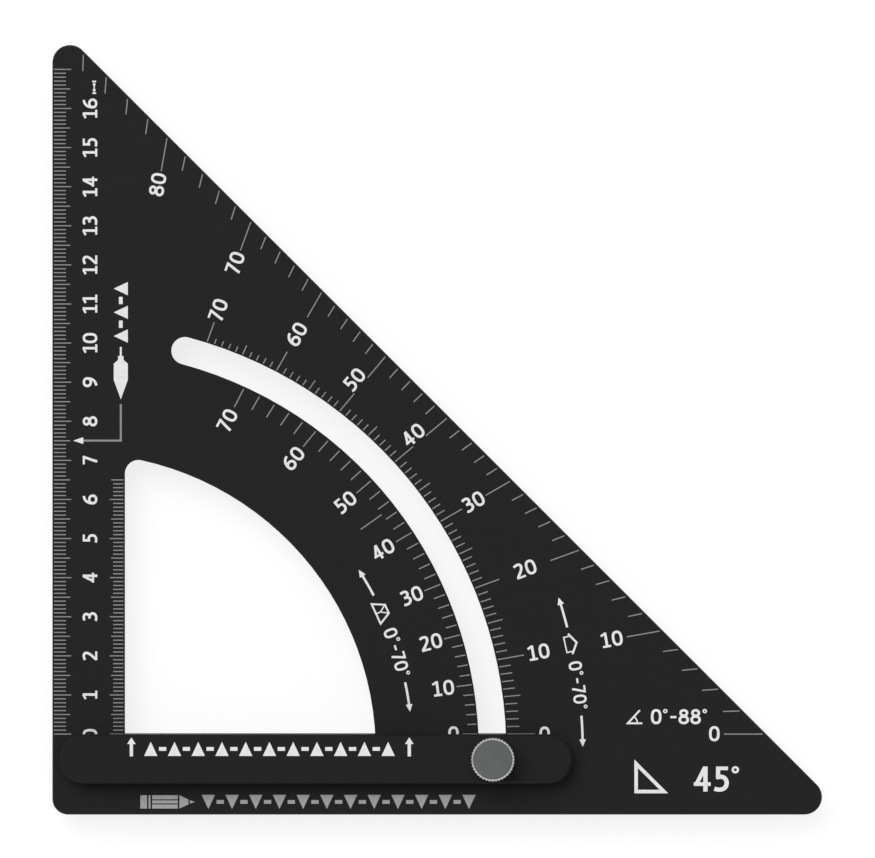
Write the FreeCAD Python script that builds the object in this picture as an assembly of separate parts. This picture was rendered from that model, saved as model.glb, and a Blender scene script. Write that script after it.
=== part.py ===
"""Adjustable set square: a flat triangular blade with a swinging fence.

The blade is a right-angled triangle of sheet aluminium with a quadrant window and a long
arc slot.  Two fence bars, one over each face of the blade, swing together about a pivot bush
near the right-angled heel.  A knurled thumb screw runs down through the front bar, through a
guide bush that rides in the arc slot, and into a nut in the rear bar.  Done up, it squeezes
the bars on to the blade and holds the fence at its angle.

Frame, in millimetres: the Z axis is the fence's pivot, and z = 0 is the rear bar's outer face,
which the tool lies on.  +Z leaves the graduated front face, +X runs along the seat edge and
+Y along the plumb edge.  The fence is drawn at zero degrees, parallel to the seat edge.
"""
import FreeCAD, Part
import math
import os

V = FreeCAD.Vector

# ---------------------------------------------------------------- blade
leg_length = 203.2            # plumb and seat edges, measured to the sharp corners
blade_thickness = 4.0
heel_radius = 4.0             # rounding of the right-angled corner
tip_radius = 4.5              # rounding of both 45 degree tips
blade_chamfer = 0.3           # broken edge all round both faces
pivot_from_plumb_edge = 6.3
pivot_from_seat_edge = 16.0
plumb_leg_width = 18.5        # metal between the plumb edge and the window
seat_leg_width = 15.0         # metal between the seat edge and the window, under the fence
window_radius = 76.4          # the window's curved side, about the pivot
window_corner_radius = 3.5
slot_radius = 106.3           # middle of the arc slot, about the pivot
slot_width = 7.0

# ---------------------------------------------------------------- fence
fence_swing = 75.8            # degrees from the seat-parallel position to the upper stop
fence_width = 12.5
setting_edge_offset = 4.6     # the setting edge lies this far above the pivot
fence_reach = 126.6           # pivot to the far end of the bars
fence_heel_reach = 4.3        # pivot to their near end
front_bar_thickness = 6.5
rear_bar_thickness = 6.5
bar_chamfer = 0.5             # outer rim of each bar
bar_inner_chamfer = 0.25      # rim that faces the blade
glide_gap = 0.3               # each bar stands this far off the blade

# ---------------------------------------------------------------- pivot
pivot_bush_diameter = 4.6
pivot_bush_seat = 2.0         # depth of the bush's seat in each bar
pivot_screw_diameter = 3.0
pivot_screw_engagement = 3.0  # length of thread past the bush, in the front bar
pivot_head_diameter = 5.5
pivot_head_rim = 0.3          # straight rim of the countersunk head
pivot_socket_across_flats = 2.0
pivot_socket_depth = 1.2
pivot_washer_diameter = 6.3

# ---------------------------------------------------------------- clamp
stud_diameter = 5.0
stud_end_clearance = 0.6      # from the rear bar's outer face to the stud's end
guide_bush_wall = 0.8
guide_bush_seat = 1.5
guide_bush_float = 0.2        # free length at each end, so the clamp force reaches the blade
clamp_washer_diameter = 11.4
nut_across_flats = 8.0
nut_thickness = 2.7
nut_bevel_angle = 30.0        # degrees, turned corners of the nut's outer face
nut_recess = 0.3              # the nut sits this far below the rear bar's outer face
knob_washer_diameter = 9.6
knob_washer_thickness = 0.8

# ---------------------------------------------------------------- thumb knob
knob_diameter = 11.2
knob_height = 7.0
knob_neck_diameter = 8.4
knob_neck_height = 0.9
knob_rim_chamfer = 0.6
knurl_teeth = 40
knurl_depth = 0.32
knob_dish_depth = 0.15        # shallow turned recess in the knob's top
stud_length_in_knob = 4.5

# ---------------------------------------------------------------- common fits
washer_thickness = 0.8        # glide washers, part sunk into the bars
running_clearance = 0.03      # radial, bush in the blade
guide_clearance = 0.1         # each side of the guide bush in the slot
seat_clearance = 0.03         # radial, bushes, washers and nut in their seats
thread_clearance = 0.03       # radial, between a screw and its thread's bore
screw_clearance = 0.15        # radial, where a screw passes freely
head_clearance = 0.1          # countersunk head below the rear bar's face
press_clearance = 0.01        # radial, stud pressed into the knob
cut_margin = 1.0              # how far a cutting tool runs past a face

# ---------------------------------------------------------------- levels along Z
blade_back = rear_bar_thickness + glide_gap
blade_front = blade_back + blade_thickness
front_bar_back = blade_front + glide_gap
front_bar_front = front_bar_back + front_bar_thickness
knob_back = front_bar_front + knob_washer_thickness
knob_front = knob_back + knob_neck_height + knob_height

# ---------------------------------------------------------------- places in plan
PIVOT = (0.0, 0.0)
fence_half_width = fence_width / 2
bar_axis_y = setting_edge_offset - fence_half_width
clamp_x = math.sqrt(slot_radius ** 2 - bar_axis_y ** 2)
CLAMP = (clamp_x, bar_axis_y)
clamp_angle = math.degrees(math.atan2(bar_axis_y, clamp_x))
heel = V(-pivot_from_plumb_edge, -pivot_from_seat_edge, 0)

# ---------------------------------------------------------------- derived diameters
washer_recess = washer_thickness - glide_gap
guide_bush_diameter = slot_width - 2 * guide_clearance
guide_bush_bore = guide_bush_diameter - 2 * guide_bush_wall
pivot_screw_hole_radius = pivot_screw_diameter / 2 + screw_clearance
stud_hole_radius = stud_diameter / 2 + screw_clearance


# ================================================================ shape helpers
def cylinder(diameter, z_low, z_high, place):
    """Upright cylinder between two levels."""
    return Part.makeCylinder(diameter / 2, z_high - z_low, V(place[0], place[1], z_low))


def ring(outer, inner, z_low, z_high, place):
    """Upright sleeve or washer, given by its two diameters."""
    hole = cylinder(inner, z_low - cut_margin, z_high + cut_margin, place)
    return cylinder(outer, z_low, z_high, place).cut(hole)


def prism(outline, z_low, z_high):
    """Solid of one closed outline drawn at z = 0, between two levels."""
    face = Part.Face(outline)
    face.translate(V(0, 0, z_low))
    return face.extrude(V(0, 0, z_high - z_low))


def hexagon(across_flats, z_low, z_high, place):
    """Upright hexagonal prism with two flats square to Y."""
    radius = across_flats / math.sqrt(3)
    points = [V(place[0] + radius * math.cos(math.radians(60 * i)),
                place[1] + radius * math.sin(math.radians(60 * i)), 0) for i in range(7)]
    return prism(Part.makePolygon(points), z_low, z_high)


def polar(radius, angle):
    """Point at a radius and an angle in degrees about the pivot."""
    return V(radius * math.cos(math.radians(angle)), radius * math.sin(math.radians(angle)), 0)


def arc(start, middle, end):
    return Part.Arc(start, middle, end).toShape()


def line(start, end):
    return Part.LineSegment(start, end).toShape()


def rounded_outline(corners, radii):
    """Closed outline through the corners, each one turned into a tangent arc."""
    arcs = []
    for i, corner in enumerate(corners):
        back = (corners[i - 1] - corner).normalize()
        ahead = (corners[(i + 1) % len(corners)] - corner).normalize()
        half_angle = back.getAngle(ahead) / 2
        reach = radii[i] / math.tan(half_angle)
        inward = (back + ahead).normalize()
        nearest = corner + inward * (radii[i] / math.sin(half_angle) - radii[i])
        arcs.append((corner + back * reach, nearest, corner + ahead * reach))
    edges = []
    for i, (start, middle, end) in enumerate(arcs):
        edges.append(arc(start, middle, end))
        edges.append(line(end, arcs[(i + 1) % len(arcs)][0]))
    return Part.Wire(edges)


def chamfer_rims(solid, level, size):
    """Chamfer every edge that lies in one horizontal plane."""
    rims = [e for e in solid.Edges
            if abs(e.BoundBox.ZMin - level) < 1e-6 and abs(e.BoundBox.ZMax - level) < 1e-6]
    return solid.makeChamfer(size, rims)


def single_solid(solid):
    """The one solid that a boolean cut leaves, with no splits in its faces."""
    return solid.removeSplitter().Solids[0]


# ================================================================ blade
def window_outline():
    """Quadrant window: two straight sides and an arc about the pivot, corners rounded."""
    left = heel.x + plumb_leg_width
    bottom = heel.y + seat_leg_width
    corner = window_corner_radius
    reach = window_radius - corner
    heel_centre = V(left + corner, bottom + corner, 0)
    far_centre = V(math.sqrt(reach ** 2 - heel_centre.y ** 2), heel_centre.y, 0)
    top_centre = V(heel_centre.x, math.sqrt(reach ** 2 - heel_centre.x ** 2), 0)
    far_angle = math.degrees(math.atan2(far_centre.y, far_centre.x))
    top_angle = math.degrees(math.atan2(top_centre.y, top_centre.x))
    far_end = polar(window_radius, far_angle)
    top_end = polar(window_radius, top_angle)
    down, back = polar(corner, -90), polar(corner, 180)
    return Part.Wire([
        line(heel_centre + down, far_centre + down),
        arc(far_centre + down, far_centre + polar(corner, (far_angle - 90) / 2), far_end),
        arc(far_end, polar(window_radius, (far_angle + top_angle) / 2), top_end),
        arc(top_end, top_centre + polar(corner, (top_angle + 180) / 2), top_centre + back),
        line(top_centre + back, heel_centre + back),
        arc(heel_centre + back, heel_centre + polar(corner, 225), heel_centre + down),
    ])


def slot_outline():
    """Arc slot, long enough for the guide bush to run from stop to stop."""
    play = math.degrees(guide_clearance / slot_radius)
    start, end = clamp_angle - play, clamp_angle + fence_swing + play
    middle = (start + end) / 2
    inner, outer = slot_radius - slot_width / 2, slot_radius + slot_width / 2
    start_tip = polar(slot_radius, start) + polar(slot_width / 2, start - 90)
    end_tip = polar(slot_radius, end) + polar(slot_width / 2, end + 90)
    return Part.Wire([
        arc(polar(outer, start), polar(outer, middle), polar(outer, end)),
        arc(polar(outer, end), end_tip, polar(inner, end)),
        arc(polar(inner, end), polar(inner, middle), polar(inner, start)),
        arc(polar(inner, start), start_tip, polar(outer, start)),
    ])


def make_blade():
    corners = [heel, heel + V(leg_length, 0, 0), heel + V(0, leg_length, 0)]
    outline = rounded_outline(corners, [heel_radius, tip_radius, tip_radius])
    blade = prism(outline, blade_back, blade_front)
    low, high = blade_back - cut_margin, blade_front + cut_margin
    pivot_hole = cylinder(pivot_bush_diameter + 2 * running_clearance, low, high, PIVOT)
    for tool in (prism(window_outline(), low, high), prism(slot_outline(), low, high), pivot_hole):
        blade = blade.cut(tool)
    blade = single_solid(blade)
    for level in (blade_back, blade_front):
        blade = chamfer_rims(blade, level, blade_chamfer)
    return blade


# ================================================================ fence bars
def bar_blank(z_low, z_high):
    """Flat bar with full round ends, its long upper side the setting edge."""
    near_x, far_x = fence_half_width - fence_heel_reach, fence_reach - fence_half_width
    top, bottom = setting_edge_offset, setting_edge_offset - fence_width
    outline = Part.Wire([
        line(V(near_x, bottom, 0), V(far_x, bottom, 0)),
        arc(V(far_x, bottom, 0), V(fence_reach, bar_axis_y, 0), V(far_x, top, 0)),
        line(V(far_x, top, 0), V(near_x, top, 0)),
        arc(V(near_x, top, 0), V(-fence_heel_reach, bar_axis_y, 0), V(near_x, bottom, 0)),
    ])
    return prism(outline, z_low, z_high)


def seat(diameter, blade_side, depth, place):
    """Round seat sunk into a bar from the side that faces the blade."""
    wide = diameter + 2 * seat_clearance
    inward = depth if blade_side == front_bar_back else -depth
    outward = -cut_margin if blade_side == front_bar_back else cut_margin
    low, high = sorted((blade_side + inward, blade_side + outward))
    return cylinder(wide, low, high, place)


def blade_side_seats(blade_side):
    """The washer and bush seats that both bars have alike at the pivot and at the clamp."""
    return [
        seat(pivot_washer_diameter, blade_side, washer_recess, PIVOT),
        seat(pivot_bush_diameter, blade_side, pivot_bush_seat, PIVOT),
        seat(clamp_washer_diameter, blade_side, washer_recess, CLAMP),
        seat(guide_bush_diameter, blade_side, guide_bush_seat, CLAMP),
    ]


def make_front_fence_bar():
    bar = bar_blank(front_bar_back, front_bar_front)
    bar = chamfer_rims(bar, front_bar_front, bar_chamfer)
    bar = chamfer_rims(bar, front_bar_back, bar_inner_chamfer)
    thread_top = front_bar_back + pivot_bush_seat + pivot_screw_engagement
    tapped_hole = cylinder(pivot_screw_diameter + 2 * thread_clearance,
                           front_bar_back, thread_top + screw_clearance, PIVOT)
    stud_hole = cylinder(2 * stud_hole_radius, front_bar_back, front_bar_front + cut_margin, CLAMP)
    for tool in blade_side_seats(front_bar_back) + [tapped_hole, stud_hole]:
        bar = bar.cut(tool)
    return single_solid(bar)


def countersink():
    """Seat of the pivot screw's head in the rear bar: a straight mouth and a 90 degree cone."""
    mouth_radius = pivot_head_diameter / 2 + seat_clearance
    mouth_depth = head_clearance + pivot_head_rim
    cone_depth = mouth_radius - pivot_screw_hole_radius
    mouth = cylinder(2 * mouth_radius, -cut_margin, mouth_depth, PIVOT)
    cone = Part.makeCone(mouth_radius, pivot_screw_hole_radius, cone_depth, V(0, 0, mouth_depth))
    return mouth.fuse(cone)


def make_rear_fence_bar():
    bar = bar_blank(0, rear_bar_thickness)
    bar = chamfer_rims(bar, 0, bar_chamfer)
    bar = chamfer_rims(bar, rear_bar_thickness, bar_inner_chamfer)
    screw_hole = cylinder(2 * pivot_screw_hole_radius, -cut_margin, rear_bar_thickness, PIVOT)
    stud_hole = cylinder(2 * stud_hole_radius, -cut_margin, rear_bar_thickness, CLAMP)
    nut_pocket = hexagon(nut_across_flats + 2 * seat_clearance, -cut_margin,
                         nut_recess + nut_thickness, CLAMP)
    outer_side_cuts = [countersink(), screw_hole, stud_hole, nut_pocket]
    for tool in blade_side_seats(rear_bar_thickness) + outer_side_cuts:
        bar = bar.cut(tool)
    return single_solid(bar)


# ================================================================ pivot
def make_pivot_bush():
    """Sleeve that sets the bars' spacing and carries the blade."""
    bore = 2 * pivot_screw_hole_radius
    return ring(pivot_bush_diameter, bore, rear_bar_thickness - pivot_bush_seat,
                front_bar_back + pivot_bush_seat, PIVOT)


def make_pivot_screw():
    """Countersunk socket screw, head in the rear bar and thread in the front bar."""
    head_radius = pivot_head_diameter / 2
    shank_radius = pivot_screw_diameter / 2
    head_top = head_clearance + pivot_head_rim
    shank_end = front_bar_back + pivot_bush_seat + pivot_screw_engagement
    profile = Part.makePolygon([
        V(0, 0, head_clearance),
        V(head_radius, 0, head_clearance),
        V(head_radius, 0, head_top),
        V(shank_radius, 0, head_top + head_radius - shank_radius),
        V(shank_radius, 0, shank_end),
        V(0, 0, shank_end),
        V(0, 0, head_clearance),
    ])
    screw = Part.Face(profile).revolve(V(0, 0, 0), V(0, 0, 1), 360)
    socket = hexagon(pivot_socket_across_flats, 0, head_clearance + pivot_socket_depth, PIVOT)
    return Part.Solid(screw).cut(socket).Solids[0]


def make_glide_washer(diameter, bore, blade_face, place):
    """Thin washer between the blade's face and a bar, part sunk into the bar."""
    if blade_face == blade_front:
        return ring(diameter, bore, blade_front, blade_front + washer_thickness, place)
    return ring(diameter, bore, blade_back - washer_thickness, blade_back, place)


# ================================================================ clamp
def make_guide_bush():
    """Sleeve that rides in the arc slot and keys the two bars together round the stud."""
    reach = guide_bush_seat - guide_bush_float
    return ring(guide_bush_diameter, guide_bush_bore, rear_bar_thickness - reach,
                front_bar_back + reach, CLAMP)


def make_clamp_nut():
    """Hexagon nut in the rear bar's pocket, the corners of its outer face turned off."""
    nut = hexagon(nut_across_flats, nut_recess, nut_recess + nut_thickness, CLAMP)
    inscribed = nut_across_flats / 2
    spread = nut_thickness / math.tan(math.radians(nut_bevel_angle))
    bevel = Part.makeCone(inscribed, inscribed + spread, nut_thickness,
                          V(CLAMP[0], CLAMP[1], nut_recess))
    bore = cylinder(stud_diameter + 2 * thread_clearance, 0, rear_bar_thickness, CLAMP)
    return nut.common(bevel).cut(bore).Solids[0]


def make_knob_washer():
    return ring(knob_washer_diameter, 2 * stud_hole_radius, front_bar_front, knob_back, CLAMP)


def knurl_outline():
    """Straight knurl: one pointed tooth after another round the knob."""
    crest, root = knob_diameter / 2, knob_diameter / 2 - knurl_depth
    points = []
    for i in range(2 * knurl_teeth + 1):
        radius = root if i % 2 else crest
        angle = math.pi * i / knurl_teeth
        points.append(V(CLAMP[0] + radius * math.cos(angle), CLAMP[1] + radius * math.sin(angle), 0))
    return Part.makePolygon(points)


def make_lock_knob():
    """Knurled head: a turned blank with a neck, bevelled rims and a shallow dish on top."""
    crest = knob_diameter / 2
    neck = knob_neck_diameter / 2
    shoulder = knob_back + knob_neck_height
    flat = crest - knob_rim_chamfer
    profile = Part.makePolygon([
        V(0, 0, knob_back),
        V(neck, 0, knob_back),
        V(neck, 0, shoulder),
        V(flat, 0, shoulder),
        V(crest, 0, shoulder + knob_rim_chamfer),
        V(crest, 0, knob_front - knob_rim_chamfer),
        V(flat, 0, knob_front),
        V(flat - knob_dish_depth, 0, knob_front - knob_dish_depth),
        V(0, 0, knob_front - knob_dish_depth),
        V(0, 0, knob_back),
    ])
    blank = Part.Solid(Part.Face(profile).revolve(V(0, 0, 0), V(0, 0, 1), 360))
    blank.translate(V(CLAMP[0], CLAMP[1], 0))
    knurled = blank.common(prism(knurl_outline(), knob_back, knob_front))
    bore = cylinder(stud_diameter + 2 * press_clearance, knob_back - cut_margin,
                    knob_back + stud_length_in_knob, CLAMP)
    return knurled.cut(bore).Solids[0]


def make_lock_stud():
    """Threaded stud from inside the knob down to the nut, with a bevelled lead at its end."""
    stud = cylinder(stud_diameter, stud_end_clearance, knob_back + stud_length_in_knob, CLAMP)
    return chamfer_rims(stud, stud_end_clearance, stud_diameter / 10)


# ================================================================ assembly
def main():
    pivot_washer_bore = pivot_bush_diameter + 2 * seat_clearance
    clamp_washer_bore = guide_bush_diameter + 2 * seat_clearance
    nodes = {
        "blade": make_blade(),
        "front_fence_bar": make_front_fence_bar(),
        "rear_fence_bar": make_rear_fence_bar(),
        "pivot_bush": make_pivot_bush(),
        "pivot_screw": make_pivot_screw(),
        "guide_bush": make_guide_bush(),
        "clamp_nut": make_clamp_nut(),
        "knob_washer": make_knob_washer(),
        "lock_knob": make_lock_knob(),
        "lock_stud": make_lock_stud(),
    }
    for side, face in (("front", blade_front), ("rear", blade_back)):
        nodes[side + "_pivot_washer"] = make_glide_washer(
            pivot_washer_diameter, pivot_washer_bore, face, PIVOT)
        nodes[side + "_clamp_washer"] = make_glide_washer(
            clamp_washer_diameter, clamp_washer_bore, face, CLAMP)
    os.makedirs("parts", exist_ok=True)
    for name, shape in nodes.items():
        shape.exportStep("parts/" + name + ".step")
        box = shape.BoundBox
        print(f"{name:20s} valid {shape.isValid()} solids {len(shape.Solids)} "
              f"volume {shape.Volume:9.2f} mm3 x {box.XMin:.2f} {box.XMax:.2f} "
              f"y {box.YMin:.2f} {box.YMax:.2f} z {box.ZMin:.2f} {box.ZMax:.2f}")


main()
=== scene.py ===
import math

import bmesh
import bpy
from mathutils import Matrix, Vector
from mathutils.geometry import delaunay_2d_cdt


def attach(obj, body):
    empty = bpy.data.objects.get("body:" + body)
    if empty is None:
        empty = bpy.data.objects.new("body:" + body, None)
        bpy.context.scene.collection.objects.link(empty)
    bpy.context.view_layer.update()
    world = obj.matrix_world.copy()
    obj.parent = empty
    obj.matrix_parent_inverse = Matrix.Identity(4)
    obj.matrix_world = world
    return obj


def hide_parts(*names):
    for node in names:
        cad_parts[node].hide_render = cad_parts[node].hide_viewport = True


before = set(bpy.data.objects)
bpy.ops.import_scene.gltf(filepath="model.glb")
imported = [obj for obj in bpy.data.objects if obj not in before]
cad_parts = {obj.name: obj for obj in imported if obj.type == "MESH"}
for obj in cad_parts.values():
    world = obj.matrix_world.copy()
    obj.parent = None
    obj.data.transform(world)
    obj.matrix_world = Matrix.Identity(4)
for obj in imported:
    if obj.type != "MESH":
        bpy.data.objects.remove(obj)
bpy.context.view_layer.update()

# Adjustable set square: print, finishes, screw thread and studio round the CAD frame.
# Lengths are in millimetres in the frame unless a comment says otherwise. The pivot's axis is at
# x = y = 0, and the tool lies on z = 0 with its scales up.

MM = 0.001                   # metres in a millimetre

BLADE_FRONT = 10.8           # levels of the two printed faces
FENCE_FRONT = 17.6
PRINT = 0.02                 # the print stands this far off its face
ROOT = 0.02                  # and starts this far under it
PLUMB_EDGE = -6.3
WINDOW_EDGE = 12.2           # the window's side along the plumb leg
SETTING_EDGE = 4.6           # every scale's lines pass the pivot at this distance
HYPOTENUSE_SUM = 180.9       # x + y along the sloping edge
SLOT_INNER, SLOT_MIDDLE, SLOT_OUTER = 102.8, 106.3, 109.8    # radii of the arc slot
BAR_AXIS = -1.65             # y of the fence's middle line
CLAMP = (math.sqrt(SLOT_MIDDLE ** 2 - BAR_AXIS ** 2), BAR_AXIS)


# ---------------------------------------------------------------- plane shapes

FINE = 0.28                  # width of a scale's line
MITRE_LIMIT = 0.35           # least cosine at a corner, so that a sharp one doesn't run to a spike


def offset_rails(path, width, closed):
    """Left and right points beside each point of a centre line, mitred where it turns."""
    n = len(path)
    pts = [Vector(p) for p in path]
    left, right = [], []
    for i, p in enumerate(pts):
        ahead = pts[(i + 1) % n] - p if closed or i < n - 1 else p - pts[i - 1]
        behind = p - pts[i - 1] if closed or i > 0 else ahead
        a, b = ahead.normalized(), behind.normalized()
        normal = Vector((-(a.y + b.y), a.x + b.x)).normalized()
        reach = width / 2 / max(MITRE_LIMIT, normal.dot(Vector((-a.y, a.x))))
        left.append(p + normal * reach)
        right.append(p - normal * reach)
    return left, right


def stroke(path, width, closed=False):
    """Four-sided polygons along a centre line."""
    left, right = offset_rails(path, width, closed)
    n = len(path)
    last = n if closed else n - 1
    return [[right[i], right[(i + 1) % n], left[(i + 1) % n], left[i]] for i in range(last)]


def tick(start, end):
    """Polygon of one line of a scale."""
    return stroke([start, end], FINE)[0]


def bezier(p0, c0, c1, p1, steps=9):
    out = []
    for i in range(steps + 1):
        t = i / steps
        s = 1 - t
        out.append(tuple(s ** 3 * a + 3 * s * s * t * b + 3 * s * t * t * c + t ** 3 * d
                         for a, b, c, d in zip(p0, c0, c1, p1)))
    return out


def oval(cx, cy, a, b, power=2.0, steps=28):
    """Closed superellipse."""
    out = []
    for i in range(steps):
        t = 2 * math.pi * i / steps
        c, s = math.cos(t), math.sin(t)
        out.append((cx + a * math.copysign(abs(c) ** (2 / power), c),
                    cy + b * math.copysign(abs(s) ** (2 / power), s)))
    return out


def bar(x0, y0, x1, y1):
    """A rectangle, as a group of one polygon."""
    return [[(x0, y0), (x1, y0), (x1, y1), (x0, y1)]]


def counter_clockwise(poly):
    area = sum(poly[i - 1][0] * p[1] - p[0] * poly[i - 1][1] for i, p in enumerate(poly))
    return poly if area > 0 else poly[::-1]


def arrow_head(tip, angle, length, half):
    """Triangle that points along an angle."""
    c, s = math.cos(angle), math.sin(angle)
    return [(tip[0], tip[1]), (tip[0] - length * c - half * s, tip[1] - length * s + half * c),
            (tip[0] - length * c + half * s, tip[1] - length * s - half * c)]


# ---------------------------------------------------------------- numerals and signs, one unit high

W = 0.165                    # upright strokes
T = 0.145                    # level strokes


def turned(polys, width):
    """Glyph turned upside down."""
    return [[(width - x, 1 - y) for x, y in poly] for poly in polys]


ANGLE_ARC = [(0.10 + 0.60 * math.cos(math.radians(a)), 0.06 + 0.60 * math.sin(math.radians(a)))
             for a in range(0, 51, 5)]
SIX = (stroke(oval(0.335, 0.315, 0.245, 0.238, 2.15), W, True)
       + stroke(bezier((0.09, 0.33), (0.09, 0.66), (0.25, 0.90), (0.56, 0.925)), W))

# Each glyph's polygons, and its width
GLYPHS = {
    "0": (stroke(oval(0.335, 0.5, 0.253, 0.42, 2.5), W, True), 0.67),
    "1": (bar(0.245, 0, 0.245 + W, 1) + stroke([(0.035, 0.80), (0.335, 0.965)], T)
          + bar(0.06, 0, 0.58, T), 0.60),
    "2": (stroke(bezier((0.06, 0.84), (0.25, 0.975), (0.545, 0.99), (0.51, 0.70))
                 + bezier((0.51, 0.70), (0.47, 0.48), (0.27, 0.32), (0.10, 0.10))[1:], W)
          + bar(0.035, 0, 0.615, T), 0.64),
    "3": (stroke(bezier((0.075, 0.88), (0.35, 0.99), (0.52, 0.90), (0.49, 0.72))
                 + bezier((0.49, 0.72), (0.47, 0.57), (0.34, 0.535), (0.20, 0.535))[1:], W)
          + stroke(bezier((0.20, 0.535), (0.42, 0.55), (0.55, 0.45), (0.53, 0.29))
                   + bezier((0.53, 0.29), (0.50, 0.06), (0.22, 0.04), (0.05, 0.115))[1:], W),
          0.63),
    "4": (bar(0.39, 0, 0.39 + W, 1) + bar(0.03, 0.225, 0.67, 0.225 + T)
          + stroke([(0.115, 0.262), (0.45, 0.96)], W * 0.92), 0.70),
    "5": (bar(0.12, 1 - T, 0.575, 1) + bar(0.12, 0.50, 0.12 + W * 0.95, 1)
          + stroke(bezier((0.135, 0.555), (0.33, 0.655), (0.545, 0.56), (0.525, 0.31))
                   + bezier((0.525, 0.31), (0.50, 0.07), (0.25, 0.03), (0.06, 0.115))[1:], W),
          0.63),
    "6": (SIX, 0.67),
    "7": (bar(0.05, 1 - T, 0.61, 1)
          + stroke(bezier((0.525, 0.94), (0.44, 0.60), (0.32, 0.35), (0.245, 0.0)), W), 0.63),
    "8": (stroke(oval(0.34, 0.745, 0.205, 0.178, 2.1), W * 0.97, True)
          + stroke(oval(0.34, 0.295, 0.25, 0.218, 2.1), W, True), 0.68),
    "9": (turned(SIX, 0.67), 0.67),
    "deg": (stroke(oval(0.17, 0.87, 0.10, 0.10), 0.085, True), 0.36),
    "dash": (bar(0.06, 0.40, 0.44, 0.40 + T), 0.50),
    "space": ([], 0.30),
    "angle": (stroke([(0.86, 0.93), (0.10, 0.06), (1.02, 0.06)], 0.12)
              + stroke(ANGLE_ARC, 0.085), 1.12),
    "gable": (stroke([(0.02, 0.44), (0.80, 0.93), (1.58, 0.44)], 0.15)
              + stroke([(0.22, 0.50), (0.22, 0.06), (1.38, 0.06), (1.38, 0.50)], 0.10), 1.68),
    "hip": (stroke([(0.05, 0.06), (0.50, 0.93), (1.18, 0.93), (1.63, 0.06)], 0.13, True)
            + stroke([(0.50, 0.93), (0.84, 0.40), (1.18, 0.93)], 0.09)
            + stroke([(0.84, 0.40), (0.84, 0.06)], 0.09), 1.74),
}

# Space between glyphs, as a share of their height
TEXT_GAP = 0.055
LABEL_GAP = 0.10
CAPTION_GAP = 0.07
ARC_GAP = 0.09


def glyph_run(keys, gap):
    """Places for a row of glyphs, and its whole width, one unit high."""
    places, x = [], 0.0
    for key in keys:
        places.append((key, x))
        x += GLYPHS[key][1] + gap
    return places, x - gap


def text(keys, height, at, angle=0.0, gap=TEXT_GAP, stretch=1.0):
    """Polygons of a straight row of glyphs, centred on a point, running along an angle."""
    places, width = glyph_run(keys, gap)
    c, s = math.cos(angle), math.sin(angle)
    out = []
    for key, start in places:
        for poly in GLYPHS[key][0]:
            moved = []
            for x, y in poly:
                u, v = (x + start - width / 2) * height * stretch, (y - 0.5) * height
                moved.append((at[0] + u * c - v * s, at[1] + u * s + v * c))
            out.append(moved)
    return out


def arc_text(keys, height, radius, middle):
    """Polygons of a row of glyphs round the pivot, read clockwise with their feet inwards."""
    places, width = glyph_run(keys, ARC_GAP)
    out = []
    for key, start in places:
        half = GLYPHS[key][1] / 2
        turn = middle - (start + half - width / 2) * height / radius
        cx, cy = radius * math.cos(turn), radius * math.sin(turn)
        c, s = math.sin(turn), -math.cos(turn)
        for poly in GLYPHS[key][0]:
            out.append([(cx + (x - half) * height * c - (y - 0.5) * height * s,
                         cy + (x - half) * height * s + (y - 0.5) * height * c)
                        for x, y in poly])
    return out, width * height / radius


def arc_arrow(radius, start, end):
    """Line round the pivot from one angle to another, with a head at its end."""
    line_width, neck_length, head_length, head_half = 0.58, 1.2, 1.9, 0.85
    steps = max(4, int(abs(end - start) / 0.01))
    way = math.copysign(1, end - start)
    neck = end - way * neck_length / radius
    path = [(radius * math.cos(start + (neck - start) * i / steps),
             radius * math.sin(start + (neck - start) * i / steps)) for i in range(steps + 1)]
    tip = (radius * math.cos(end), radius * math.sin(end))
    return (stroke(path, line_width)
            + [arrow_head(tip, end + way * math.pi / 2, head_length, head_half)])


# ---------------------------------------------------------------- solids

def merged(polygons):
    """One set of triangles that covers polygons which may overlap."""
    points, faces = [], []
    for poly in polygons:
        poly = counter_clockwise([tuple(p) for p in poly])
        faces.append(list(range(len(points), len(points) + len(poly))))
        points += [Vector(p) for p in poly]
    only_inside, nearest = 1, 1e-3
    flat, _, triangles, _, _, origin = delaunay_2d_cdt(points, [], faces, only_inside, nearest)
    return flat, [t for t, o in zip(triangles, origin) if o]


def raise_sheet(mesh, points, faces, low, high):
    """Adds a closed slab over plane faces, between two levels, to a bmesh."""
    below = [mesh.verts.new((p[0] * MM, p[1] * MM, low * MM)) for p in points]
    above = [mesh.verts.new((p[0] * MM, p[1] * MM, high * MM)) for p in points]
    rim = {}
    for face in faces:
        mesh.faces.new([above[i] for i in face])
        mesh.faces.new([below[i] for i in reversed(face)])
        for a, b in zip(face, list(face[1:]) + [face[0]]):
            if (b, a) in rim:
                del rim[(b, a)]
            else:
                rim[(a, b)] = True
    for a, b in rim:
        mesh.faces.new((below[a], below[b], above[b], above[a]))


def finish_piece(name, mesh, material, body):
    """Object from a bmesh, riding on a body."""
    bmesh.ops.delete(mesh, geom=[v for v in mesh.verts if not v.link_faces], context="VERTS")
    data = bpy.data.meshes.new(name)
    mesh.to_mesh(data)
    mesh.free()
    data.materials.append(material)
    piece = bpy.data.objects.new(name, data)
    bpy.context.scene.collection.objects.link(piece)
    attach(piece, body)
    return piece


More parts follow.
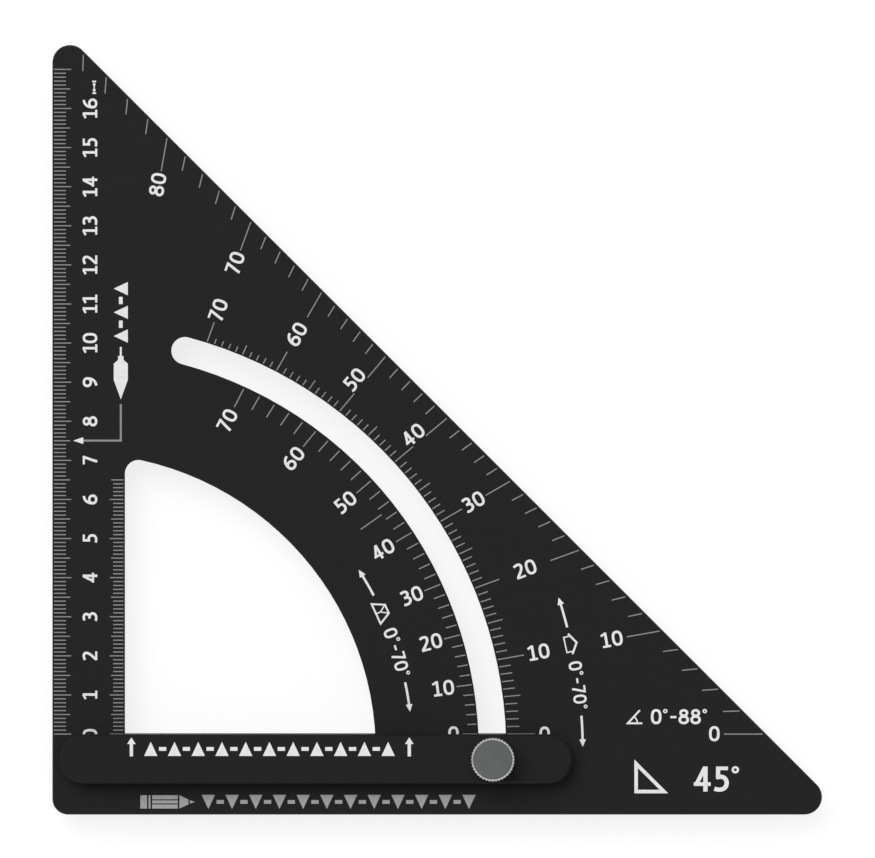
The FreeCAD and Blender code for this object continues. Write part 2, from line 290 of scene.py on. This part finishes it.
def print_piece(name, lettering, ticks, material, body="blade", face=BLADE_FRONT):
    """Printed marks on a face: groups of polygons that may overlap, and ticks that don't."""
    mesh = bmesh.new()
    for group in lettering:
        points, faces = merged(group)
        raise_sheet(mesh, points, faces, face - ROOT, face + PRINT)
    for poly in ticks:
        raise_sheet(mesh, counter_clockwise([tuple(p) for p in poly]), [tuple(range(len(poly)))],
                    face - ROOT, face + PRINT)
    return finish_piece(name, mesh, material, body)


# ---------------------------------------------------------------- materials

def new_material(name):
    material = bpy.data.materials.new(name)
    material.use_nodes = True
    tree = material.node_tree
    return material, tree, tree.nodes["Principled BSDF"]


def noise(tree, scale, detail=3.0, roughness=0.55, vector=None):
    node = tree.nodes.new("ShaderNodeTexNoise")
    node.inputs["Scale"].default_value = scale
    node.inputs["Detail"].default_value = detail
    node.inputs["Roughness"].default_value = roughness
    if vector is None:
        vector = tree.nodes.new("ShaderNodeTexCoord").outputs["Object"]
    tree.links.new(vector, node.inputs["Vector"])
    return node.outputs["Fac"]


def spread(tree, value, low, high, start=0.3, end=0.7):
    """Maps a value from start .. end to low .. high."""
    node = tree.nodes.new("ShaderNodeMapRange")
    node.inputs["From Min"].default_value = start
    node.inputs["From Max"].default_value = end
    node.inputs["To Min"].default_value = low
    node.inputs["To Max"].default_value = high
    tree.links.new(value, node.inputs["Value"])
    return node.outputs["Result"]


def worked(tree, kind, operation, values):
    """Math or VectorMath node over sockets and constants."""
    node = tree.nodes.new(kind)
    node.operation = operation
    for socket, value in zip(node.inputs, values):
        if isinstance(value, bpy.types.NodeSocket):
            tree.links.new(value, socket)
        else:
            socket.default_value = value
    return node


def maths(tree, operation, *values):
    return worked(tree, "ShaderNodeMath", operation, values).outputs["Value"]


def vector_maths(tree, operation, *values):
    output = "Value" if operation == "LENGTH" else "Vector"
    return worked(tree, "ShaderNodeVectorMath", operation, values).outputs[output]


def blend(tree, factor, a, b):
    """Colour between a and b; each is a colour or a socket."""
    node = tree.nodes.new("ShaderNodeMix")
    node.data_type = "RGBA"
    tree.links.new(factor, node.inputs["Factor"])
    colour_a, colour_b, colour_out = node.inputs[6], node.inputs[7], node.outputs[2]
    for socket, value in ((colour_a, a), (colour_b, b)):
        if isinstance(value, tuple):
            socket.default_value = (*value, 1)
        else:
            tree.links.new(value, socket)
    return colour_out


def bump(tree, shader, height, strength, metres):
    node = tree.nodes.new("ShaderNodeBump")
    node.inputs["Strength"].default_value = strength
    node.inputs["Distance"].default_value = metres
    tree.links.new(height, node.inputs["Height"])
    tree.links.new(node.outputs["Normal"], shader.inputs["Normal"])


def slope_mask(tree):
    """1 on faces that slope between level and upright, such as chamfers; 0 elsewhere."""
    geometry = tree.nodes.new("ShaderNodeNewGeometry")
    split = tree.nodes.new("ShaderNodeSeparateXYZ")
    tree.links.new(geometry.outputs["Normal"], split.inputs["Vector"])
    return maths(tree, "COMPARE", maths(tree, "ABSOLUTE", split.outputs["Z"]), 0.707, 0.2)


def anodised(name, dark, light, chamfer_wear_and_shade, specular):
    """Bead-blasted and dyed aluminium: fine grain, faint cloudiness, and chamfers that take a
    colour of their own in patches.
    Lighter than the body, that colour stands for wear; darker, it is painted shade for chamfers
    turned from the light."""
    material, tree, shader = new_material(name)
    grain = noise(tree, 6200, 2.0, 0.7)
    cloud = noise(tree, 38, 4.0, 0.6)
    body = blend(tree, spread(tree, grain, 0, 1, 0.25, 0.75), dark, light)
    clouded = blend(tree, spread(tree, cloud, 0, 0.35), body, light)
    wear_and_shade_patches = spread(tree, noise(tree, 260, 5.0, 0.7), 0.15, 0.8, 0.4, 0.62)
    # chamfers coloured in patches: wear where the colour is lighter, painted shade where it is
    # darker
    worn_and_shaded = blend(tree, maths(tree, "MULTIPLY", slope_mask(tree), wear_and_shade_patches), clouded, chamfer_wear_and_shade)
    tree.links.new(worn_and_shaded, shader.inputs["Base Color"])
    tree.links.new(spread(tree, cloud, 0.44, 0.54), shader.inputs["Roughness"])
    shader.inputs["Specular IOR Level"].default_value = specular
    bump(tree, shader, grain, 0.8, 0.00004)
    return material


def metal(name, colour, dim, rough, grain_scale, grain_strength, axis=None, rim=None):
    """Bare metal, its roughness between two values. With an axis (x, y) its grain runs in rings
    round that, as turning leaves it. A rim is the radius past which its colour is another, lighter
    one: a painted highlight, as on the knob's knurled edge."""
    material, tree, shader = new_material(name)
    shader.inputs["Metallic"].default_value = 1.0
    place = tree.nodes.new("ShaderNodeTexCoord").outputs["Object"]
    cloud = noise(tree, 220, 4.0, 0.6, place)
    tone = blend(tree, spread(tree, cloud, 0, 1), dim, colour)
    if axis:
        beside = vector_maths(tree, "SUBTRACT", place, (axis[0] * MM, axis[1] * MM, 0))
        far = vector_maths(tree, "LENGTH", vector_maths(tree, "MULTIPLY", beside, (1, 1, 0)))
        split = tree.nodes.new("ShaderNodeSeparateXYZ")
        tree.links.new(place, split.inputs["Vector"])
        pair = tree.nodes.new("ShaderNodeCombineXYZ")
        tree.links.new(far, pair.inputs["X"])
        tree.links.new(split.outputs["Z"], pair.inputs["Y"])
        grain = noise(tree, grain_scale, 3.0, 0.7, pair.outputs["Vector"])
    else:
        grain = noise(tree, grain_scale, 3.0, 0.6, place)
    if rim:
        radius, rim_highlight_colour = rim
        # painted highlight: past the rim's radius the metal is coloured lighter
        edge = spread(tree, far, 0, 1, (radius - 0.05) * MM, (radius + 0.05) * MM)
        tone = blend(tree, edge, tone, rim_highlight_colour)
    tree.links.new(tone, shader.inputs["Base Color"])
    tree.links.new(spread(tree, grain, *rough), shader.inputs["Roughness"])
    bump(tree, shader, grain, grain_strength, 0.00003)
    return material


def printed(name, pale, thin):
    """Screen print: near even, a touch thin in places, with the blasted grain showing through."""
    material, tree, shader = new_material(name)
    coverage = noise(tree, 900, 4.0, 0.65)
    tree.links.new(blend(tree, spread(tree, coverage, 0, 1, 0.28, 0.5), thin, pale),
                   shader.inputs["Base Color"])
    grain = noise(tree, 5200, 2.0, 0.6)
    tree.links.new(spread(tree, grain, 0.5, 0.7), shader.inputs["Roughness"])
    shader.inputs["Specular IOR Level"].default_value = 0.3
    bump(tree, shader, grain, 0.2, 0.00002)
    return material


def plastic(name, dark, light):
    """Moulded plastic with a fine speckle."""
    material, tree, shader = new_material(name)
    speckle = noise(tree, 2400, 3.0, 0.6)
    tree.links.new(blend(tree, spread(tree, speckle, 0, 1), dark, light),
                   shader.inputs["Base Color"])
    tree.links.new(spread(tree, speckle, 0.5, 0.66), shader.inputs["Roughness"])
    bump(tree, shader, speckle, 0.2, 0.00003)
    return material


def grey(value):
    return (value, value, value)


# The blade's chamfers are coloured lighter for wear; the fence's chamfers are coloured a little
# darker than its face, as painted shade.
blade_finish = anodised("blade_anodised_finish", grey(0.0024), grey(0.0070), grey(0.020), 0.20)
fence_finish_painted_chamfer_shade = anodised("fence_anodised_painted_chamfer_shade", grey(0.0090), grey(0.0136), grey(0.008), 0.11)
white_print = printed("print_white", grey(0.84), grey(0.72))
grey_print = printed("print_grey", grey(0.41), grey(0.33))
line_print = printed("print_line", grey(0.28), grey(0.22))
tick_print = printed("print_tick", grey(0.27), grey(0.22))
# The knob's knurled edge, past 5 mm from its axis, is coloured far lighter than its face: a painted
# highlight.
knob_painted_rim_highlight_finish = metal("knob_nickel_painted_rim_highlight", (0.143, 0.150, 0.148), (0.124, 0.130, 0.128),
                    (0.34, 0.50), 9000, 0.35, CLAMP, (5.0, grey(0.60)))
steel_finish = metal("screw_steel_finish", (0.56, 0.56, 0.57), (0.47, 0.47, 0.48),
                     (0.26, 0.42), 2600, 0.2)
washer_finish = metal("washer_steel_finish", (0.56, 0.56, 0.57), (0.48, 0.48, 0.49),
                      (0.28, 0.44), 7000, 0.3, CLAMP)
brass_finish = metal("bush_brass_finish", (0.66, 0.47, 0.18), (0.56, 0.38, 0.13),
                     (0.26, 0.42), 3000, 0.2)
plastic_finish = plastic("glide_plastic_finish", grey(0.022), grey(0.036))

finishes = {
    "blade": blade_finish, "front_fence_bar": fence_finish_painted_chamfer_shade, "rear_fence_bar": fence_finish_painted_chamfer_shade,
    "pivot_bush": brass_finish, "guide_bush": brass_finish,
    "pivot_screw": steel_finish, "clamp_nut": steel_finish, "lock_stud": steel_finish,
    "knob_washer": washer_finish, "lock_knob": knob_painted_rim_highlight_finish,
    "front_pivot_washer": plastic_finish, "rear_pivot_washer": plastic_finish,
    "front_clamp_washer": plastic_finish, "rear_clamp_washer": plastic_finish,
}
for node, finish in finishes.items():
    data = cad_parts[node].data
    data.materials.clear()
    data.materials.append(finish)


# ---------------------------------------------------------------- scales on the blade

DIGIT = 3.72                 # numerals of the rulers
LABEL = 3.85                 # numerals of the degree scales
WIDE = 1.05                  # how much wider than drawn the numerals are
SCALE_TOP = 70               # degrees, the last mark beside the slot


def digits(number):
    return list(str(number))


def graded(value, ten, five, one):
    """Length of a mark: for tens, for the fives between them, and for the rest."""
    return ten if value % 10 == 0 else five if value % 5 == 0 else one


def on_line(angle, distance, aside=0.0):
    """Point on a scale line, or beside it: the line of the fence's setting edge at an angle."""
    c, s = math.cos(angle), math.sin(angle)
    across = SETTING_EDGE + aside
    return (distance * c - across * s, distance * s + across * c)


def scale_tick(angle, start, end):
    return tick(on_line(angle, start), on_line(angle, end))


def label(number, angle, distance, aside):
    """Numerals of a degree scale, at a distance along its line and one beside it."""
    return text(digits(number), LABEL, on_line(angle, distance, aside), angle, LABEL_GAP, WIDE)


def along_for_radius(radius):
    """Distance along a scale line to where it is this far from the pivot."""
    return math.sqrt(radius ** 2 - SETTING_EDGE ** 2)


def plumb_ruler():
    """Millimetres from the setting edge up the plumb edge, and a length sign past the last one."""
    start, numeral_x, last_cm = PLUMB_EDGE + 0.4, 3.33, 16
    ticks, labels = [], []
    for mm in range(10 * last_cm + 11):
        y = SETTING_EDGE + mm
        ticks.append(tick((start, y), (PLUMB_EDGE + graded(mm, 4.82, 4.55, 3.47), y)))
    for cm in range(last_cm + 1):
        labels.append(text(digits(cm), DIGIT, (numeral_x, SETTING_EDGE + 10 * cm), math.pi / 2,
                           stretch=WIDE))
    labels.append(bar(3.9, 168.3, 4.9, 168.7) + bar(3.9, 171.3, 4.9, 171.7)
                  + stroke([(4.4, 169.3), (4.4, 170.7)], 0.3)
                  + [arrow_head((4.4, 171.4), math.pi / 2, 0.9, 0.45),
                     arrow_head((4.4, 168.6), -math.pi / 2, 0.9, 0.45)])
    return ticks, labels


def window_ruler():
    """Millimetres from the setting edge up the window's side."""
    start, last_mm = WINDOW_EDGE - 0.35, 65
    ticks = []
    for mm in range(last_mm + 1):
        y = SETTING_EDGE + mm
        ticks.append(tick((WINDOW_EDGE - graded(mm, 3.80, 3.45, 2.95), y), (start, y)))
    return ticks


def hypotenuse_scale():
    """Degrees along the sloping edge; the marks start short of it, and reach a depth from it."""
    label_at = {0: (163.0, 0.1), 10: (139.7, 0.1), 20: (123.7, 0.2), 30: (119.8, 0.15),
                40: (117.95, 2.3), 50: (118.55, 2.3), 60: (120.6, 0.2), 70: (131.3, 0.2),
                80: (146.5, 0.3)}
    short, last = 0.65, 88
    ticks, labels = [], []
    for degree in range(0, last + 1, 2):
        a = math.radians(degree)
        c, s = math.cos(a), math.sin(a)
        edge = (HYPOTENUSE_SUM - SETTING_EDGE * (c - s)) / (c + s)
        square = (c + s) / math.sqrt(2)      # how squarely the line meets the edge
        depth = graded(degree, 7.65, 3.75, 3.75)
        ticks.append(scale_tick(a, edge - depth / square, edge - short / square))
        if degree in label_at:
            labels.append(label(degree, a, *label_at[degree]))
    return ticks, labels


def outer_slot_scale():
    """Degrees along the slot's outer edge; the marks grow shorter towards its far end."""
    start, edge = along_for_radius(SLOT_OUTER + 0.35), along_for_radius(SLOT_OUTER)
    ticks, labels = [], []
    for degree in range(SCALE_TOP + 1):
        reach = graded(degree, 7.45, 4.6, 3.55) - 0.027 * degree
        ticks.append(scale_tick(math.radians(degree), start, edge + reach))
    for degree, distance, aside in ((0, 119.6, 0.0), (10, 120.7, 0.1), (70, 118.5, 0.15)):
        labels.append(label(degree, math.radians(degree), distance, aside))
    return ticks, labels


def hip_angle(pitch):
    """Slope of a hip or valley rafter on a roof of this pitch, which is in degrees."""
    return math.atan(math.tan(math.radians(pitch)) / math.sqrt(2))


def inner_slot_scale():
    """Roof pitches along the slot's inner edge; the marks grow longer towards its far end."""
    label_at = {0: 96.3, 10: 94.95, 20: 94.65, 30: 94.35, 40: 93.65, 50: 93.6, 60: 93.15,
                70: 92.95}
    edge = along_for_radius(SLOT_INNER)
    ticks, labels = [], []
    for pitch in range(0, SCALE_TOP + 1, 2):
        a = hip_angle(pitch)
        reach = graded(pitch, 4.05, 2.72, 2.72) + 0.026 * pitch
        ticks.append(scale_tick(a, edge - reach, edge - (0.35 + 0.004 * pitch)))
        if pitch in label_at:
            labels.append(label(pitch, a, label_at[pitch], 0.05))
    ticks.append(scale_tick(hip_angle(45), 92.1, 98.65))
    return ticks, labels


for name, marks in (("plumb_ruler", plumb_ruler()), ("window_ruler", (window_ruler(), None)),
                    ("degree_scale", hypotenuse_scale()), ("pitch_scale", outer_slot_scale()),
                    ("hip_scale", inner_slot_scale())):
    ticks, labels = marks
    print_piece(name + "_ticks", [], ticks, tick_print)
    if labels:
        print_piece(name + "_numerals", labels, [], white_print)


# ---------------------------------------------------------------- signs on the blade

def range_caption(radius, top, bottom, icon, height):
    """Curved caption between two angles in degrees: a roof sign and 0 to 70 between two arrows."""
    middle = math.radians((top + bottom) / 2)
    letters, span = arc_text([icon, "space", "0", "deg", "dash", "7", "0", "deg"], height, radius,
                             middle)
    gap = 1.6 / radius
    up = arc_arrow(radius, middle + span / 2 + gap, math.radians(top))
    down = arc_arrow(radius, middle - span / 2 - gap, math.radians(bottom))
    return [letters, up, down]


def pointer_row(start, count, towards, along=0.0):
    """Row of triangles that all point one way, with dashes between them."""
    pitch, length, half, dash_start, dash_end, dash_width = 6.06, 3.6, 1.7, 2.1, 3.96, 0.96
    ahead = Vector((math.cos(along), math.sin(along)))
    point = Vector((math.cos(towards), math.sin(towards)))
    groups = []
    for i in range(count):
        middle = Vector(start) + pitch * i * ahead
        groups.append([arrow_head(middle + length / 2 * point, towards, length, half)])
        if i < count - 1:
            groups.append(stroke([middle + dash_start * ahead, middle + dash_end * ahead],
                                 dash_width))
    return groups


def plumb_bob(x):
    """Plumb bob on a short string, its point down: string, neck, shoulders and body."""
    return (stroke([(x, 103.6), (x, 101.0)], 0.5) + bar(x - 0.7, 99.9, x + 0.7, 101.3)
            + [[(x - 1.8, 99.4), (x - 1.8, 95.2), (x, 90.2), (x + 1.8, 95.2), (x + 1.8, 99.4)]]
            + [[(x - 1.8, 99.3), (x + 1.8, 99.3), (x + 0.7, 100.3), (x - 0.7, 100.3)]])


def pencil(x, y):
    """Pencil that lies level, its point to the right: rubber, ferrule, body, cone and lead."""
    return [bar(x, y - 1.7, x + 1.7, y + 1.7), bar(x + 2.1, y - 1.7, x + 2.6, y + 1.7),
            bar(x + 3.0, y + 0.66, x + 9.6, y + 1.7), bar(x + 3.0, y - 0.38, x + 9.6, y + 0.38),
            bar(x + 3.0, y - 1.7, x + 9.6, y - 0.66),
            [[(x + 10.0, y - 1.7), (x + 12.3, y - 0.62), (x + 12.3, y + 0.62),
              (x + 10.0, y + 1.7)]],
            [[(x + 12.65, y - 0.46), (x + 13.9, y), (x + 12.65, y + 0.46)]]]


print_piece("pitch_caption", range_caption(129.35, 17.8, 0.6, "gable", 3.4), [], white_print)
print_piece("hip_caption", range_caption(85.8, 32.9, 6.9, "hip", 3.5), [], white_print)
degree_range = text(["angle", "space", "0", "deg", "dash", "8", "8", "deg"], 3.85, (150.9, 9.05),
                    gap=CAPTION_GAP, stretch=WIDE)
print_piece("degree_caption", [degree_range], [], white_print)
set_square = stroke([(143.0, -10.1), (150.1, -10.1), (143.0, -3.0)], 0.9, True)
corner_angle = text(["4", "5", "deg"], 6.4, (163.6, -6.9), stretch=WIDE)
print_piece("corner_caption", [corner_angle, set_square], [], white_print)

# A plumb bob under pointers to the plumb edge, and below it a bent line that points there too
sign_x, line_y, line_end = 11.2, 79.65, 1.6
print_piece("plumb_pointer_line",
            [stroke([(sign_x, 89.0), (sign_x, line_y), (line_end, line_y)], 0.5)], [], line_print)
print_piece("plumb_bob_sign",
            [plumb_bob(sign_x), [arrow_head((line_end - 2.6, line_y), math.pi, 2.6, 0.85)]]
            + pointer_row((sign_x, 106.4), 3, math.pi, math.pi / 2), [], white_print)

# A pencil, and pointers to the seat edge
seat_y = -12.75
print_piece("seat_edge_sign", pencil(16.2, seat_y) + pointer_row((33.6, seat_y), 12, -math.pi / 2),
            [], grey_print)


# ---------------------------------------------------------------- signs on the fence

def up_arrow(x):
    return bar(x - 0.42, -0.95, x + 0.42, 2.5) + [arrow_head((x, 3.9), math.pi / 2, 1.7, 1.1)]


print_piece("fence_edge_sign",
            [up_arrow(14.05), up_arrow(85.0)] + pointer_row((19.0, 0.95), 11, math.pi / 2),
            [], white_print, "fence", FENCE_FRONT)


# ---------------------------------------------------------------- turned and threaded pieces

def round_point(centre, radius, turn, z):
    """Point in metres at an angle round an upright axis."""
    return ((centre[0] + radius * math.cos(turn)) * MM,
            (centre[1] + radius * math.sin(turn)) * MM, z * MM)


def turned_ring(name, profile, centre, material, body, segments=128):
    """Closed ring from a closed outline of (radius, height) points round an upright axis."""
    mesh = bmesh.new()
    rows = []
    for i in range(segments):
        turn = 2 * math.pi * i / segments
        rows.append([mesh.verts.new(round_point(centre, r, turn, z)) for r, z in profile])
    for i, row in enumerate(rows):
        ahead = rows[(i + 1) % segments]
        for j in range(len(profile)):
            k = (j + 1) % len(profile)
            mesh.faces.new((row[j], ahead[j], ahead[k], row[k]))
    bmesh.ops.recalc_face_normals(mesh, faces=mesh.faces)
    return finish_piece(name, mesh, material, body)


def threaded_rod(name, centre, low, high, crest, pitch, plain_from, material, body, segments=48):
    """Screw thread between two levels, with a bevelled lead at its foot and a plain shank above.
    Crest is the thread's outer radius."""
    depth = 0.613 * pitch                # of a metric thread
    lead = depth + 0.06
    steps = ((0.0, depth), (0.125, depth), (0.5, 0.0), (0.625, 0.0))    # share of a turn, cut
    mesh = bmesh.new()
    columns = []
    for i in range(segments + 1):
        turn = 2 * math.pi * i / segments
        column = []
        for t in range(-1, math.ceil((high - low) / pitch) + 1):
            for share, cut in steps:
                z = min(max(low + (t + share + i / segments) * pitch, low), high)
                fade = min(1.0, max(0.0, (plain_from - z) / pitch))
                radius = min(crest - cut * fade, crest - lead + z - low)
                column.append(mesh.verts.new(round_point(centre, radius, turn, z)))
        columns.append(column)
    for here, ahead in zip(columns, columns[1:]):
        for j in range(len(here) - 1):
            mesh.faces.new((here[j], ahead[j], ahead[j + 1], here[j + 1]))
    bmesh.ops.remove_doubles(mesh, verts=mesh.verts, dist=1e-7)
    open_edges = [e for e in mesh.edges if len(e.link_faces) == 1]
    bmesh.ops.holes_fill(mesh, edges=open_edges, sides=0)
    bmesh.ops.recalc_face_normals(mesh, faces=mesh.faces)
    return finish_piece(name, mesh, material, body)


bore, rim, bevel = 3.43, 5.7, 0.1
ring_low, ring_high = BLADE_FRONT + PRINT + 0.01, 11.6
clamp_ring = turned_ring("front_clamp_ring", [
    (bore, ring_low + bevel), (bore + bevel, ring_low),
    (rim - bevel, ring_low), (rim, ring_low + bevel),
    (rim, ring_high - bevel), (rim - bevel, ring_high),
    (bore + bevel, ring_high), (bore, ring_high - bevel),
], CLAMP, plastic_finish, "fence")
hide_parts("front_clamp_washer")

threaded_stud = threaded_rod("lock_stud_threaded", CLAMP, low=0.6, high=22.9, crest=2.49,
                             pitch=0.8, plain_from=18.2, material=steel_finish,
                             body="thumb_screw")
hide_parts("lock_stud")


# ---------------------------------------------------------------- floor, light, camera

FLOOR_REACH = 6              # metres each way
FLOOR_GAP = 0.00005          # metres, so that the floor and the bar lying on it don't share a plane
FLOOR_GLOW = 0.80            # what the camera and reflections see on top of the lit floor
KEY_DIRECTION = (-0.34, 0.50, 1.0)       # towards the light
SENSOR, LENS = 36, 600
PHOTO_WIDTH, PIXELS_PER_MM = 875, 3.91
VIEW_CENTRE = (92.2, 82.62)

floor_data = bpy.data.meshes.new("studio_floor")
corners = ((-1, -1), (1, -1), (1, 1), (-1, 1))
floor_data.from_pydata([(x * FLOOR_REACH, y * FLOOR_REACH, -FLOOR_GAP) for x, y in corners], [],
                       [(0, 1, 2, 3)])
floor = bpy.data.objects.new("studio_floor", floor_data)
bpy.context.scene.collection.objects.link(floor)
floor_material, tree, shader = new_material("floor_white")
shader.inputs["Roughness"].default_value = 0.9
shader.inputs["Specular IOR Level"].default_value = 0.0
shader.inputs["Base Color"].default_value = (0.26, 0.26, 0.26, 1)
shader.inputs["Emission Color"].default_value = (1, 1, 1, 1)
ray = tree.nodes.new("ShaderNodeLightPath").outputs
seen = maths(tree, "MAXIMUM", ray["Is Camera Ray"], ray["Is Glossy Ray"])
seen = maths(tree, "MAXIMUM", seen, ray["Is Transmission Ray"])
tree.links.new(maths(tree, "MULTIPLY", seen, FLOOR_GLOW), shader.inputs["Emission Strength"])
floor_data.materials.append(floor_material)

# The world is brightest low down and dims smoothly towards the top
world = bpy.data.worlds.new("studio_world")
world.use_nodes = True
bpy.context.scene.world = world
tree = world.node_tree
background = tree.nodes["Background"]
split = tree.nodes.new("ShaderNodeSeparateXYZ")
tree.links.new(tree.nodes.new("ShaderNodeTexCoord").outputs["Generated"], split.inputs["Vector"])
level = spread(tree, split.outputs["Z"], 0.75, 0.50, 0.25, 0.75)
level.node.interpolation_type = "SMOOTHSTEP"
tree.links.new(level, background.inputs["Strength"])
background.inputs["Color"].default_value = (1, 1, 1, 1)

key_data = bpy.data.lights.new("key", "SUN")
key_data.energy = 1.35
key_data.angle = math.radians(40)
key = bpy.data.objects.new("key", key_data)
key.rotation_euler = Vector(KEY_DIRECTION).to_track_quat("Z", "Y").to_euler()
bpy.context.scene.collection.objects.link(key)

camera_data = bpy.data.cameras.new("camera")
camera_data.sensor_width = SENSOR
camera_data.lens = LENS
camera = bpy.data.objects.new("camera", camera_data)
bpy.context.scene.collection.objects.link(camera)
height = BLADE_FRONT + PHOTO_WIDTH / PIXELS_PER_MM * LENS / SENSOR
camera.location = (VIEW_CENTRE[0] * MM, VIEW_CENTRE[1] * MM, height * MM)
bpy.context.scene.camera = camera
bpy.context.scene.view_settings.view_transform = "Standard"
